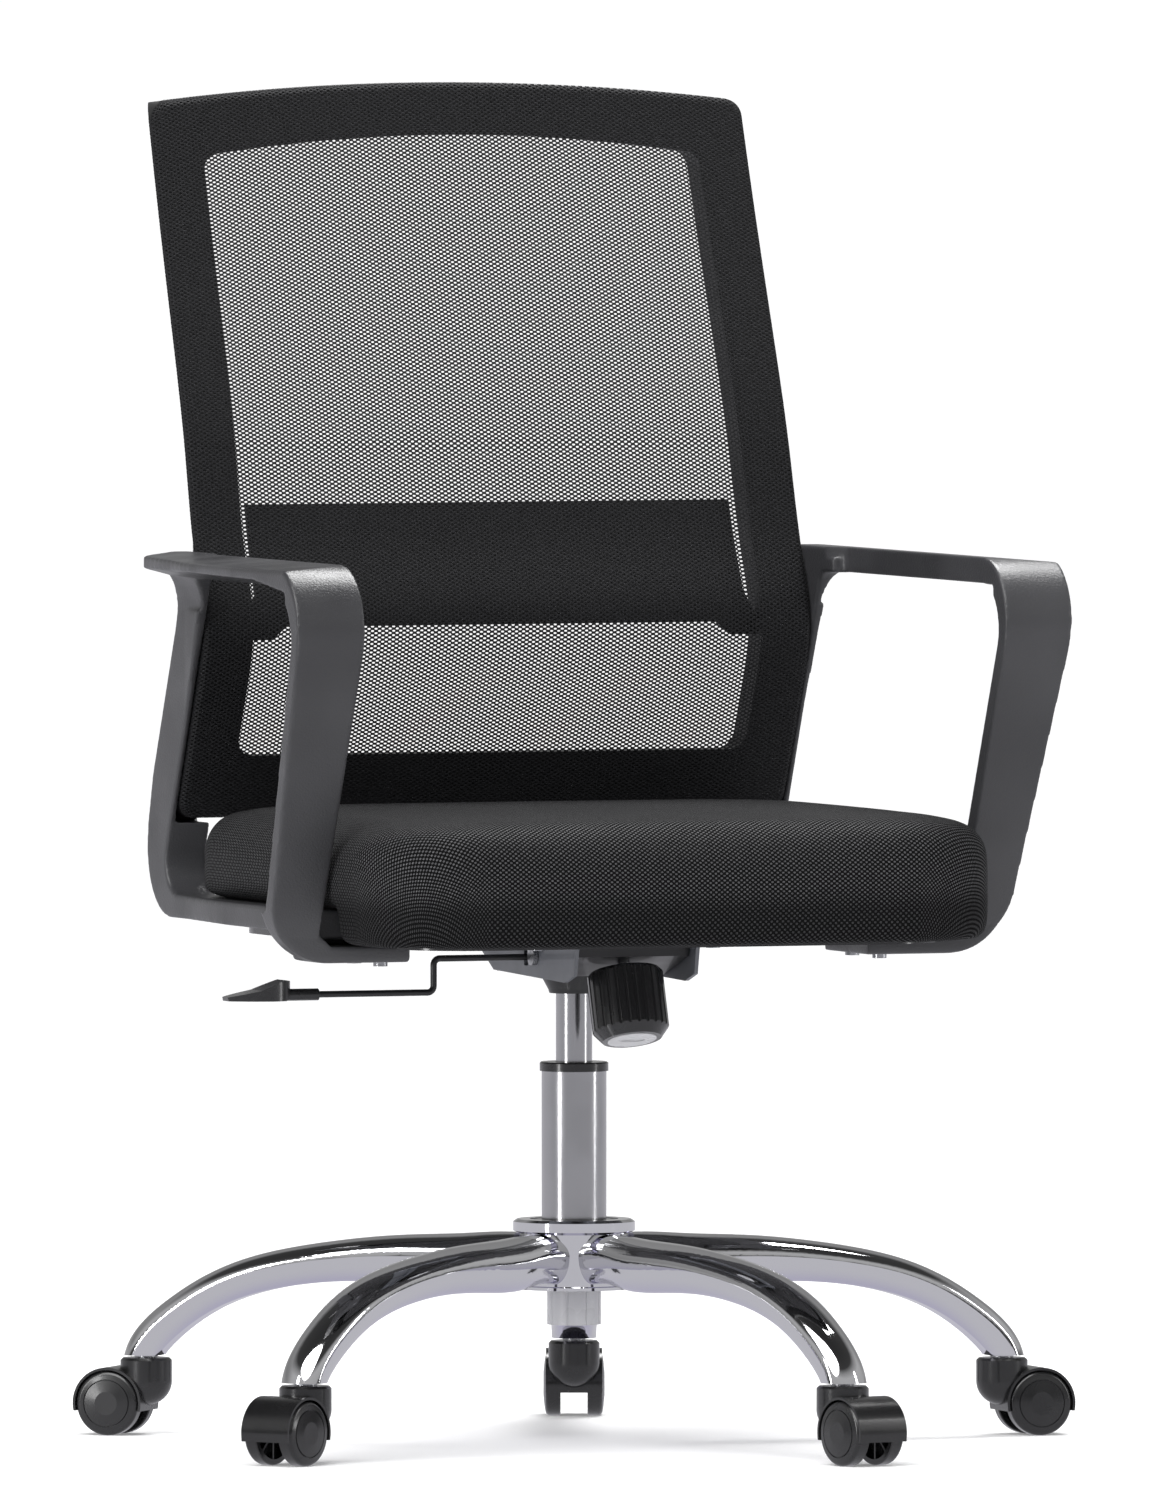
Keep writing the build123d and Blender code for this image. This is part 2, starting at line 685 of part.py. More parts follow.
def frame_side_wedge():
    """What draws the frame's left side in towards its rear above the arms, following the back's curve."""
    curve = Edge.make_spline([Vector(0, *point) for point in BACK_PROFILE])
    with BuildPart() as wedge:
        for share in range(17):
            point = curve @ (share / 16)
            edge_x = back_half_width(point.Z) + 0.02
            taper = FRAME_TAPER * min(max((point.Z - 640) / 60, 0), 1)
            with BuildSketch(Plane(origin=point, x_dir=(1, 0, 0), z_dir=curve % (share / 16))):
                outline(
                    (edge_x + 3, COVER_THICKNESS + 4),
                    (edge_x, COVER_THICKNESS + 4),
                    (edge_x - taper, COVER_THICKNESS + FRAME_DEPTH + 2),
                    (edge_x + 3, COVER_THICKNESS + FRAME_DEPTH + 2),
                )
        loft(ruled=True)
    return wedge.part


# The back screws' axes lie square to the uprights' rear faces.
upright_low = Vector(0, *UPRIGHT_REAR_LINE[0])
upright_run = Vector(0, *UPRIGHT_REAR_LINE[1]) - upright_low
back_screw_direction = upright_run.cross(Vector(1, 0, 0)).normalized()
back_screw_planes = [
    Plane(
        origin=upright_low + upright_run * share + Vector(side * BACK_SCREW_X, 0, 0),
        x_dir=(1, 0, 0),
        z_dir=back_screw_direction,
    )
    for side in (1, -1)
    for share in (0.2, 0.6)
]

with BuildPart() as back_cover:
    extrude(back_slab(0, COVER_THICKNESS), amount=300, both=True)
    extrude(back_outline(0), amount=500, both=True, mode=Mode.INTERSECT)
save(back_cover, "back_mesh")

side_wedge = frame_side_wedge()

with BuildPart() as back_frame:
    extrude(back_slab(COVER_THICKNESS + 0.1, FRAME_DEPTH), amount=300, both=True)
    extrude(back_outline(0), amount=500, both=True, mode=Mode.INTERSECT)
    extrude(back_outline(BORDER), amount=500, both=True, mode=Mode.SUBTRACT)
    add([side_wedge, side_wedge.mirror(Plane.YZ)], mode=Mode.SUBTRACT)
    for screw_plane in back_screw_planes:
        with BuildSketch(screw_plane):
            Circle(SCREW_RADIUS + FIXED_GAP)
        extrude(amount=-44, mode=Mode.SUBTRACT)
save(back_frame, "back_frame")

with BuildPart() as lumbar:
    extrude(back_slab(16, 4), amount=BACK_LOWER_HALF_WIDTH - BORDER - 0.2, both=True)
    with BuildSketch(Plane.XZ):
        outline(
            (-200, LUMBAR_TOP),
            (-202, LUMBAR_BOTTOM + 24),
            (-210.3, LUMBAR_BOTTOM + 6),
            (-210.3, LUMBAR_BOTTOM - 10),
            (-190, LUMBAR_BOTTOM - 10),
            (-178, LUMBAR_BOTTOM),
            (178, LUMBAR_BOTTOM),
            (190, LUMBAR_BOTTOM - 10),
            (210.3, LUMBAR_BOTTOM - 10),
            (210.3, LUMBAR_BOTTOM + 6),
            (202, LUMBAR_BOTTOM + 24),
            (200, LUMBAR_TOP),
        )
    extrude(amount=500, both=True, mode=Mode.INTERSECT)
save(lumbar, "lumbar_band")

# ---------------------------------------------------------------- arms

LEG_SLOPE = 0.44
LEG_TOP_Y = -267
LEG_THICKNESS = 17
PAD_THICKNESS = 20


def leg_front(height):
    """The front leg's front face, which leans forward as it rises."""
    return LEG_TOP_Y + (PAD_TOP - height) * LEG_SLOPE


def arm_side_view():
    """The arm's loop seen from the side."""
    with BuildSketch(Plane.YZ) as view:
        with BuildLine():
            FilletPolyline(
                (LEG_TOP_Y, PAD_TOP),
                (leg_front(400), 400),
                (leg_front(400), FOOT_BOTTOM),
                (-98, FOOT_BOTTOM),
                (-92, RAIL_BOTTOM),
                (258, RAIL_BOTTOM),
                (254, 470),
                UPRIGHT_REAR_LINE[0],
                UPRIGHT_REAR_LINE[1],
                (176, PAD_TOP),
                radius=[50, 4, 4, 4, 4, 52, 30, 60, 60, 6],
                close=True,
            )
        make_face()
        with BuildLine():
            FilletPolyline(
                (leg_front(PAD_TOP - PAD_THICKNESS) + LEG_THICKNESS, PAD_TOP - PAD_THICKNESS),
                (leg_front(RAIL_TOP) + LEG_THICKNESS, RAIL_TOP),
                (226, RAIL_TOP),
                (206, 470),
                (165, 565),
                (133, 640),
                (122, PAD_TOP - PAD_THICKNESS),
                radius=[34, 12, 26, 80, 200, 30, 12],
                close=True,
            )
        make_face(mode=Mode.SUBTRACT)
    return view.sketch


def arm_leg_room():
    """The room of the front leg and foot: their front view over their depth."""
    with BuildPart() as room:
        with BuildSketch(Plane.XZ.offset(90)):
            with BuildLine():
                Polyline(
                    (ARM_INNER_X, PAD_TOP + 5),
                    (ARM_OUTER_X, PAD_TOP + 5),
                    (ARM_OUTER_X - 1.5, 620),
                    (304.5, 430),
                )
                RadiusArc((304.5, 430), (254, FOOT_BOTTOM), 50.8)
                Polyline(
                    (254, FOOT_BOTTOM),
                    (FOOT_INNER_X, FOOT_BOTTOM),
                    (FOOT_INNER_X, PAN_BOTTOM),
                    (252, PAN_BOTTOM),
                    (ARM_INNER_X, RAIL_BOTTOM),
                    (ARM_INNER_X, PAD_TOP + 5),
                )
            make_face()
        extrude(amount=250)
    return room.part


def arm_pad_room():
    """The room of the pad: its plan over its height."""
    with BuildPart() as room:
        with BuildSketch(Plane.XY.offset(PAD_TOP - 25)):
            with BuildLine():
                FilletPolyline(
                    (ARM_INNER_X, -100),
                    (ARM_OUTER_X, -100),
                    (ARM_OUTER_X - 1, 0),
                    (299, 150),
                    (251, 182),
                    (251, 112),
                    (ARM_INNER_X, 90),
                    radius=[1, 1, 120, 16, 1, 6, 10],
                    close=True,
                )
            make_face()
        extrude(amount=30)
    return room.part


def arm_rail_room():
    """The room of the rail and the rear upright: their plan over their height."""
    with BuildPart() as room:
        with BuildSketch(Plane.XY.offset(RAIL_BOTTOM - 5)):
            with BuildLine():
                FilletPolyline(
                    (226, -118),
                    (ARM_INNER_X + 6, -118),
                    (ARM_INNER_X + 4, 60),
                    (UPRIGHT_OUTER_X, 170),
                    (UPRIGHT_OUTER_X, 275),
                    (UPRIGHT_INNER_X, 275),
                    (UPRIGHT_INNER_X, 60),
                    radius=[2, 2, 60, 60, 2, 2, 60],
                    close=True,
                )
            make_face()
        extrude(amount=640 - RAIL_BOTTOM + 5)
    return room.part


def arm_neck():
    """The neck, which flares from the upright out to the pad."""
    with BuildPart() as neck:
        for height, reach, outer_rear, inner_rear in NECK_STATIONS:
            with BuildSketch(Plane.XY.offset(height)):
                outline(
                    (UPRIGHT_INNER_X, 95),
                    (reach, 95),
                    (reach, outer_rear),
                    (251, inner_rear),
                    (UPRIGHT_INNER_X, 215),
                )
        loft(ruled=True)
        extrude(arm_side_view(), amount=400, mode=Mode.INTERSECT)
    return neck.part


def pad_underside_wedge():
    """What thins the pad towards its outer edge, fading out at the front bend."""
    low = PAD_TOP - PAD_THICKNESS - 1
    with BuildPart() as wedge:
        for y, outer_x, rise in ((190, 308, 12), (130, 312, 11.5), (-140, 324, 10), (-212, 324, 0.9)):
            with BuildSketch(Plane.XZ.offset(-y)):
                outline((257, low - 12), (outer_x, low - 12), (outer_x, low + rise), (257, low))
        loft(ruled=True)
    return wedge.part


def leg_back_step():
    """What ends the front leg behind its own thickness, beside the rail."""
    with BuildPart() as step:
        with BuildSketch(Plane.XY.offset(FOOT_BOTTOM - 2)):
            outline((268, -122), (ARM_OUTER_X + 6, -122), (ARM_OUTER_X + 6, -80), (268, -80))
        extrude(amount=RAIL_TOP + 1 - FOOT_BOTTOM)
    return step.part


def arm_foot_tail():
    """The rear part of the foot, which reaches from the rail in under the pan."""
    with BuildPart() as tail:
        with BuildSketch(Plane.XZ.offset(98)):
            outline(
                (FOOT_INNER_X, FOOT_BOTTOM),
                (242, FOOT_BOTTOM),
                (242, RAIL_BOTTOM + 5),
                (227, RAIL_BOTTOM + 5),
                (227, PAN_BOTTOM),
                (FOOT_INNER_X, PAN_BOTTOM),
            )
        extrude(amount=-50)
    return tail.part


# Heights up the neck, with how far out it reaches and where its rear corners lie.
NECK_STATIONS = [
    (639, 256.5, 190, 195),
    (649.6, 257.8, 186, 192),
    (658.5, 261.8, 180, 190),
    (666.2, 268, 173, 188),
    (672, 276.2, 166, 186),
    (675.7, 286.3, 158.5, 184),
    (677, 296, 152, 182),
]
arm_rooms = [arm_leg_room(), arm_pad_room(), arm_rail_room()]
arm_trims = [pad_underside_wedge(), leg_back_step()]
arm_additions = [arm_neck(), arm_foot_tail()]

with BuildPart() as arm:
    add(arm_rooms)
    extrude(arm_side_view(), amount=400, mode=Mode.INTERSECT)
    add(arm_trims, mode=Mode.SUBTRACT)
    with BuildSketch(Plane.XZ.offset(300)):
        outline((ARM_INNER_X + 6, PAD_TOP), (ARM_OUTER_X + 4, PAD_TOP - 4.2), (ARM_OUTER_X + 4, PAD_TOP + 9))
    extrude(amount=-600, mode=Mode.SUBTRACT)
    add(arm_additions)
    with BuildSketch(Plane.XY.offset(FOOT_BOTTOM)):
        with Locations(*ARM_SCREWS):
            Circle(SCREW_RADIUS + FIXED_GAP)
    extrude(amount=15, mode=Mode.SUBTRACT)
    extrude(
        back_slab(-70, COVER_THICKNESS + FRAME_DEPTH + 70.6),
        amount=BACK_LOWER_HALF_WIDTH + 0.8,
        mode=Mode.SUBTRACT,
    )
    for screw_plane in back_screw_planes:
        with BuildSketch(screw_plane):
            Circle(SCREW_RADIUS + FIXED_GAP)
        extrude(amount=-44, mode=Mode.SUBTRACT)
save(arm, "arm_left")

with BuildPart() as arm_mirrored:
    mirror(arm.part, about=Plane.YZ)
save(arm_mirrored, "arm_right")

# ---------------------------------------------------------------- screws


def screw(plane, length):
    """A socket-head screw whose head stands on the plane and whose shank runs back from it."""
    with BuildPart() as piece:
        with BuildSketch(plane):
            Circle(5.5)
        extrude(amount=3.5)
        with BuildSketch(plane.offset(3.5)):
            RegularPolygon(2.6, 6)
        extrude(amount=-2, mode=Mode.SUBTRACT)
        with BuildSketch(plane):
            Circle(SCREW_RADIUS)
        extrude(amount=-length)
    return piece.part


bracket_screw_set = [
    screw(Plane(origin=(x, y, PLATE_BOTTOM), z_dir=(0, 0, -1)), 11)
    for x, y in BRACKET_SCREWS
]
arm_screw_set = [
    screw(Plane(origin=(x, y, FOOT_BOTTOM), z_dir=(0, 0, -1)), 21)
    for x, y in ARM_SCREWS
]
back_screw_set = [screw(plane, 42) for plane in back_screw_planes]

with BuildPart() as bracket_screws:
    add(bracket_screw_set)
save(bracket_screws, "bracket_screws")

with BuildPart() as arm_screws:
    add(arm_screw_set)
save(arm_screws, "arm_screws")

with BuildPart() as back_screws:
    add(back_screw_set)
save(back_screws, "back_screws")
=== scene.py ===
"""Looks of the swivel office chair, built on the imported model. Metres, in the model's own frame."""

import json
import math

import bmesh
import bpy
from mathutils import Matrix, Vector
from mathutils.bvhtree import BVHTree


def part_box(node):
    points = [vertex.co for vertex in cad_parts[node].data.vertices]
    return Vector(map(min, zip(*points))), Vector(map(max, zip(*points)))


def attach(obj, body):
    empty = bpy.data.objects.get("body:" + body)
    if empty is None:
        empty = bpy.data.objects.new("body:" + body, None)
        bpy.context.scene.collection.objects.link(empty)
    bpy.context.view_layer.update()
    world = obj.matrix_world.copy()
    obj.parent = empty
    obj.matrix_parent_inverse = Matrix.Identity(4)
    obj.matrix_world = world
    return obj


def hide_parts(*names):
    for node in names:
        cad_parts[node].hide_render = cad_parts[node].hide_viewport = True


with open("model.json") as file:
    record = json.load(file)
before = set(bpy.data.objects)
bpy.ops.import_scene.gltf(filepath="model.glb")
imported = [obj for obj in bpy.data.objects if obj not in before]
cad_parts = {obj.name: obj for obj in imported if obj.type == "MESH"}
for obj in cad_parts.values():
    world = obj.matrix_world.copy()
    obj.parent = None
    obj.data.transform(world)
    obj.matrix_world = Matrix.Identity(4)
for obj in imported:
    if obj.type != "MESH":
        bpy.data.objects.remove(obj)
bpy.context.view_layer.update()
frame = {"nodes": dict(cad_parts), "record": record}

nodes = frame["nodes"]
MM = 0.001

# ---------------------------------------------------------------- shading helpers


class Shader:
    """A material under construction: a Principled shader and short calls that add nodes to it."""

    def __init__(self, name, **settings):
        self.material = bpy.data.materials.new(name)
        self.material.use_nodes = True
        self.tree = self.material.node_tree
        self.bsdf = self.tree.nodes["Principled BSDF"]
        self.set(**settings)

    def set(self, **settings):
        """Sets the shader's sockets: base_color="..." sets Base Color, and so on."""
        for key, value in settings.items():
            socket = self.bsdf.inputs[key.replace("_", " ").title().replace("Ior", "IOR")]
            self.feed(socket, value)

    def feed(self, socket, value):
        """Links or sets a socket."""
        if isinstance(value, bpy.types.NodeSocket):
            self.tree.links.new(value, socket)
        elif isinstance(value, tuple) and len(value) == 3 and socket.type == "RGBA":
            socket.default_value = (*value, 1)
        elif value is not None:
            socket.default_value = value

    def node(self, kind, inputs=(), **settings):
        """Adds a node, feeds its inputs in order and returns its first output."""
        node = self.tree.nodes.new(kind)
        for key, value in settings.items():
            setattr(node, key, value)
        for socket, value in zip(node.inputs, inputs):
            self.feed(socket, value)
        return node.outputs[0]

    def math(self, operation, a, b=None):
        return self.node("ShaderNodeMath", (a, b), operation=operation)

    def spread(self, value, low, high, to_low=0.0, to_high=1.0):
        """Maps low..high to to_low..to_high, smoothly."""
        return self.node(
            "ShaderNodeMapRange", (value, low, high, to_low, to_high), interpolation_type="SMOOTHSTEP"
        )

    def place(self):
        """Object coordinates, which are the frame's own metres."""
        return self.tree.nodes.new("ShaderNodeTexCoord").outputs["Object"]

    def noise(self, scale, detail=2.0, roughness=0.5):
        node = self.tree.nodes.new("ShaderNodeTexNoise")
        self.tree.links.new(self.place(), node.inputs["Vector"])
        node.inputs["Scale"].default_value = scale
        node.inputs["Detail"].default_value = detail
        node.inputs["Roughness"].default_value = roughness
        return node.outputs[0]

    def mix(self, share, a, b):
        """A colour between a and b."""
        node = self.tree.nodes.new("ShaderNodeMix")
        node.data_type = "RGBA"
        for socket, value in ((node.inputs[0], share), (node.inputs[6], a), (node.inputs[7], b)):
            self.feed(socket, value)
        return node.outputs[2]

    def bump(self, height, distance, strength):
        node = self.tree.nodes.new("ShaderNodeBump")
        node.inputs["Strength"].default_value = strength
        node.inputs["Distance"].default_value = distance
        self.tree.links.new(height, node.inputs["Height"])
        self.tree.links.new(node.outputs[0], self.bsdf.inputs["Normal"])

    def weave_place(self):
        """The fabric's own coordinates in metres, kept in the piece's UV map."""
        node = self.tree.nodes.new("ShaderNodeUVMap")
        node.uv_map = "weave"
        parts = self.tree.nodes.new("ShaderNodeSeparateXYZ")
        self.tree.links.new(node.outputs[0], parts.inputs[0])
        return parts.outputs[0], parts.outputs[1]

    def lattice(self, pitch_u, pitch_v):
        """1 at the middle of each hole of a staggered lattice and -1 midway between holes."""
        u, v = self.weave_place()
        across = self.math("COSINE", self.math("MULTIPLY", u, 2 * math.pi / pitch_u))
        along = self.math("COSINE", self.math("MULTIPLY", v, 2 * math.pi / pitch_v))
        return self.math("MULTIPLY", across, along)


# ---------------------------------------------------------------- materials


def chrome_material(name, colour, roughness):
    """Plated metal with faint polishing marks, and a painted reflection of the pale floor: a cooler tone
    on its undersides.
    """
    shader = Shader(name, metallic=1.0)
    normal = shader.tree.nodes.new("ShaderNodeNewGeometry").outputs["Normal"]
    parts = shader.tree.nodes.new("ShaderNodeSeparateXYZ")
    shader.tree.links.new(normal, parts.inputs[0])
    # painted reflection: surfaces facing down get the cooler tone of the floor they would mirror
    floor_reflection_share = shader.spread(parts.outputs[2], -0.2, -0.9)
    floor_reflection_tone = (colour[0] * 0.86, colour[1] * 0.84, colour[2] * 0.98)
    haze = shader.noise(14.0, 3.0)
    shader.set(base_color=shader.mix(floor_reflection_share, colour, floor_reflection_tone))
    shader.set(roughness=shader.spread(haze, 0.35, 0.75, roughness, roughness * 1.8))
    shader.bump(shader.noise(900.0, 2.0), 0.00002, 0.3)
    return shader.material


def grained_plastic(name, colour, roughness, grain_size, depth, strength, coat=0.0):
    """Moulded plastic with a spark-eroded grain and slight patches of shine."""
    shader = Shader(name, specular_ior_level=0.5, coat_weight=coat, coat_roughness=0.12)
    patches = shader.noise(22.0, 3.0)
    shade = shader.noise(7.0, 2.0)
    lighter = tuple(c * 1.35 + 0.004 for c in colour)
    shader.set(base_color=shader.mix(shader.spread(shade, 0.3, 0.7), colour, lighter))
    shader.set(roughness=shader.spread(patches, 0.3, 0.7, roughness, roughness + 0.1))
    grain = shader.noise(1.0 / grain_size, 2.0, 0.65)
    shader.bump(grain, depth, strength)
    return shader.material


def painted_metal(name, colour, roughness):
    """Powder coat with a fine orange peel and slightly worn, lighter patches."""
    shader = Shader(name, metallic=0.0, coat_weight=0.25)
    wear = shader.spread(shader.noise(45.0, 4.0, 0.7), 0.62, 0.8)
    lighter = tuple(min(1.0, c * 1.25 + 0.02) for c in colour)
    shader.set(base_color=shader.mix(wear, colour, lighter))
    shader.set(roughness=shader.spread(shader.noise(30.0, 2.0), 0.3, 0.7, roughness, roughness + 0.12))
    shader.bump(shader.noise(700.0, 1.0), 0.0001, 0.35)
    return shader.material


def bare_steel(name, colour):
    """Turned steel with fine marks."""
    shader = Shader(name, metallic=1.0)
    marks = shader.noise(500.0, 2.0)
    tarnish = shader.spread(shader.noise(40.0), 0.3, 0.7)
    shader.set(base_color=shader.mix(tarnish, colour, (0.42, 0.42, 0.43)))
    shader.set(roughness=shader.spread(marks, 0.3, 0.7, 0.22, 0.38))
    shader.bump(marks, 0.00005, 0.3)
    return shader.material


SEAT_PITCH = (4.6 * MM, 3.5 * MM)
BACK_PITCH = (5.8 * MM, 3.4 * MM)
# the seat's fabric is drawn darker towards the bottom, between these heights
DARKER_BOTTOM_LOW, DARKER_BOTTOM_HIGH = 0.418, 0.440


def seat_fabric(name):
    """Black air-mesh knit: a net of thick yarn with round holes, painted near-black in the holes for the
    dark ground and the shade inside them.
    """
    shader = Shader(name, specular_ior_level=0.12)
    lattice = shader.lattice(*SEAT_PITCH)
    hole = shader.spread(lattice, -0.36, -0.06)
    yarn_shade = shader.noise(900.0, 2.0)
    patch = shader.noise(9.0, 2.0)
    yarn = shader.mix(shader.spread(yarn_shade, 0.3, 0.7), (0.045, 0.045, 0.048), (0.100, 0.100, 0.104))
    yarn = shader.mix(shader.spread(patch, 0.3, 0.7, 0.0, 0.25), yarn, (0.04, 0.04, 0.042))
    height_parts = shader.tree.nodes.new("ShaderNodeSeparateXYZ")
    shader.tree.links.new(shader.place(), height_parts.inputs[0])
    # darker towards the bottom of the cushion's side
    bottom_darkening = shader.spread(height_parts.outputs[2], DARKER_BOTTOM_LOW, DARKER_BOTTOM_HIGH, 0.65, 0.0)
    yarn = shader.mix(bottom_darkening, yarn, (0.006, 0.006, 0.0065))
    # painted shade: the holes get a near-black colour, the dark ground's own colour with the shade of
    # the recess painted in
    shader.set(base_color=shader.mix(hole, yarn, (0.0020, 0.0020, 0.0022)))
    shader.set(roughness=shader.spread(hole, 0.0, 1.0, 0.55, 0.95))
    height = shader.math("SUBTRACT", shader.math("MULTIPLY", yarn_shade, 0.15), hole)
    shader.bump(height, 0.0009, 0.8)
    return shader.material


def back_fabric(name):
    """Open black mesh: staggered wide holes between wavy yarns, clear where there is a hole."""
    shader = Shader(name, specular_ior_level=0.1, roughness=0.6)
    lattice = shader.lattice(*BACK_PITCH)
    yarn_shade = shader.noise(1200.0, 2.0)
    yarn = shader.mix(shader.spread(yarn_shade, 0.3, 0.7), (0.006, 0.006, 0.0065), (0.022, 0.022, 0.024))
    shader.set(base_color=yarn)
    hole = shader.spread(lattice, 0.21, 0.35)
    shader.bump(shader.math("SUBTRACT", yarn_shade, lattice), 0.0004, 0.5)
    clear = shader.tree.nodes.new("ShaderNodeBsdfTransparent")
    mixer = shader.tree.nodes.new("ShaderNodeMixShader")
    shader.tree.links.new(hole, mixer.inputs[0])
    shader.tree.links.new(shader.bsdf.outputs[0], mixer.inputs[1])
    shader.tree.links.new(clear.outputs[0], mixer.inputs[2])
    output = shader.tree.nodes["Material Output"]
    shader.tree.links.new(mixer.outputs[0], output.inputs["Surface"])
    return shader.material


MATERIALS = {
    "chrome_base": chrome_material("chrome_base", (0.72, 0.72, 0.74), 0.05),
    "chrome_column": chrome_material("chrome_column", (0.50, 0.50, 0.51), 0.14),
    "steel_parts": bare_steel("steel_parts", (0.58, 0.59, 0.61)),
    "grey_paint": painted_metal("grey_paint", (0.10, 0.105, 0.12), 0.38),
    "black_paint": painted_metal("black_paint", (0.010, 0.010, 0.011), 0.30),
    "arm_plastic": grained_plastic(
        "arm_plastic", (0.034, 0.034, 0.037), 0.30, 1.7 * MM, 0.30 * MM, strength=1.0
    ),
    "caster_nylon": grained_plastic(
        "caster_nylon", (0.006, 0.006, 0.0065), 0.20, 0.8 * MM, 0.04 * MM, strength=0.3, coat=0.35
    ),
    "black_plastic": grained_plastic(
        "black_plastic", (0.006, 0.006, 0.0065), 0.20, 0.8 * MM, 0.04 * MM, strength=0.3, coat=0.5
    ),
    "frame_plastic": grained_plastic(
        "frame_plastic", (0.004, 0.004, 0.0045), 0.5, 1.0 * MM, 0.15 * MM, strength=0.4
    ),
    "silver_plastic": painted_metal("silver_plastic", (0.48, 0.48, 0.50), 0.24),
    "seat_fabric": seat_fabric("seat_fabric"),
    "back_fabric": back_fabric("back_fabric"),
}


def paint(piece, slot):
    """Gives a piece the material of one of the record's slots."""
    piece.data.materials.clear()
    piece.data.materials.append(MATERIALS[slot])


def paint_nodes():
    """Paints every CAD node with its own slot's material."""
    for entry in frame["record"]["subparts"]:
        node = nodes[entry["node"]]
        for place in node.material_slots:
            place.material = MATERIALS[entry["material_slot"]]
        if not node.material_slots:
            node.data.materials.append(MATERIALS[entry["material_slot"]])


# ---------------------------------------------------------------- mesh helpers


def new_piece(name, mesh, slot, body):
    """Puts a mesh in the scene as a piece that rides on a body."""
    piece = bpy.data.objects.new(name, mesh)
    bpy.context.scene.collection.objects.link(piece)
    paint(piece, slot)
    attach(piece, body)
    return piece


def shade_smooth(mesh):
    mesh.polygons.foreach_set("use_smooth", [True] * len(mesh.polygons))


def bevel_edges(node, width):
    """Rounds a CAD node's sharp edges."""
    modifier = nodes[node].modifiers.new("edge_round", "BEVEL")
    modifier.width = width
    modifier.segments = 2
    modifier.limit_method = "ANGLE"
    modifier.angle_limit = math.radians(42)
    modifier.miter_outer = "MITER_ARC"


# ---------------------------------------------------------------- cushion

CUSHION_VOXEL = 5 * MM
CUSHION_SHRINK = 2.5 * MM
CUSHION_CAP = 3.5 * MM
CUSHION_ROUND = 46 * MM
CUSHION_CORNER = 38 * MM
CUSHION_HELD = 14 * MM
CUSHION_BULGE = 1.2 * MM
CUSHION_PRESSURE = 1.5
CUSHION_STEPS = 12


def apply_modifiers(piece):
    """Replaces a piece's mesh with its evaluated one."""
    graph = bpy.context.evaluated_depsgraph_get()
    mesh = bpy.data.meshes.new_from_object(piece.evaluated_get(graph), depsgraph=graph)
    piece.modifiers.clear()
    old = piece.data
    piece.data = mesh
    bpy.data.meshes.remove(old)


def inflate(piece, keep_below):
    """Swells the cushion with a short cloth run: underside held, each point's travel capped."""
    group = piece.vertex_groups.new(name="held")
    held = [v.index for v in piece.data.vertices if v.co.z < keep_below]
    group.add(held, 1.0, "REPLACE")
    start = [v.co.copy() for v in piece.data.vertices]
    cloth = piece.modifiers.new("cloth", "CLOTH")
    cloth.settings.use_pressure = True
    cloth.settings.uniform_pressure_force = CUSHION_PRESSURE
    cloth.settings.vertex_group_mass = "held"
    cloth.settings.effector_weights.gravity = 0.0
    cloth.settings.quality = 5
    scene = bpy.context.scene
    for step in range(1, CUSHION_STEPS + 1):
        scene.frame_set(step)
    apply_modifiers(piece)
    scene.frame_set(1)
    for vertex, old in zip(piece.data.vertices, start):
        move = vertex.co - old
        if move.length > CUSHION_CAP:
            vertex.co = old + move * (CUSHION_CAP / move.length)


def cushion_weave(mesh, low, high):
    """Fabric coordinates over the cushion: flat on top and carried round its edges by arc length."""
    layer = mesh.uv_layers.new(name="weave")
    middle_y = (low.y + high.y) / 2
    middle_z = (low.z + high.z) / 2
    core_x = high.x - CUSHION_ROUND - CUSHION_CORNER
    core_y = (high.y - low.y) / 2 - CUSHION_ROUND - CUSHION_CORNER
    places = []
    for vertex in mesh.vertices:
        x, y, z = vertex.co
        corner = Vector((max(-core_x, min(core_x, x)), max(-core_y, min(core_y, y - middle_y))))
        offset = Vector((x, y - middle_y)) - corner
        past = offset.length - CUSHION_CORNER
        if past > 0:
            turn = math.atan2(past, z - middle_z)
            offset = offset.normalized() * (CUSHION_CORNER + CUSHION_ROUND * turn)
        places.append(corner + offset)
    for loop in mesh.loops:
        layer.data[loop.index].uv = places[loop.vertex_index]


def make_cushion():
    """The seat cushion: the CAD solid remeshed, inflated as cloth and smoothed."""
    low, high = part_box("seat_cushion")
    mesh = nodes["seat_cushion"].data.copy()
    piece = new_piece("cushion", mesh, "seat_fabric", "seat")
    shrink = piece.modifiers.new("shrink", "DISPLACE")
    shrink.strength = -CUSHION_SHRINK
    shrink.mid_level = 0.0
    remesh = piece.modifiers.new("remesh", "REMESH")
    remesh.mode = "VOXEL"
    remesh.voxel_size = CUSHION_VOXEL
    apply_modifiers(piece)
    inflate(piece, low.z + CUSHION_HELD)
    smooth = piece.modifiers.new("smooth", "SMOOTH")
    smooth.factor = 0.6
    smooth.iterations = 12
    finer = piece.modifiers.new("finer", "SUBSURF")
    finer.levels = 1
    finer.render_levels = 1
    apply_modifiers(piece)
    reach = high.x + CUSHION_BULGE
    for vertex in piece.data.vertices:
        vertex.co.x = max(-reach, min(reach, vertex.co.x))
    shade_smooth(piece.data)
    cushion_weave(piece.data, low, high)
    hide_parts("seat_cushion")


# ---------------------------------------------------------------- arms

ARM_VOXEL = 1.6 * MM


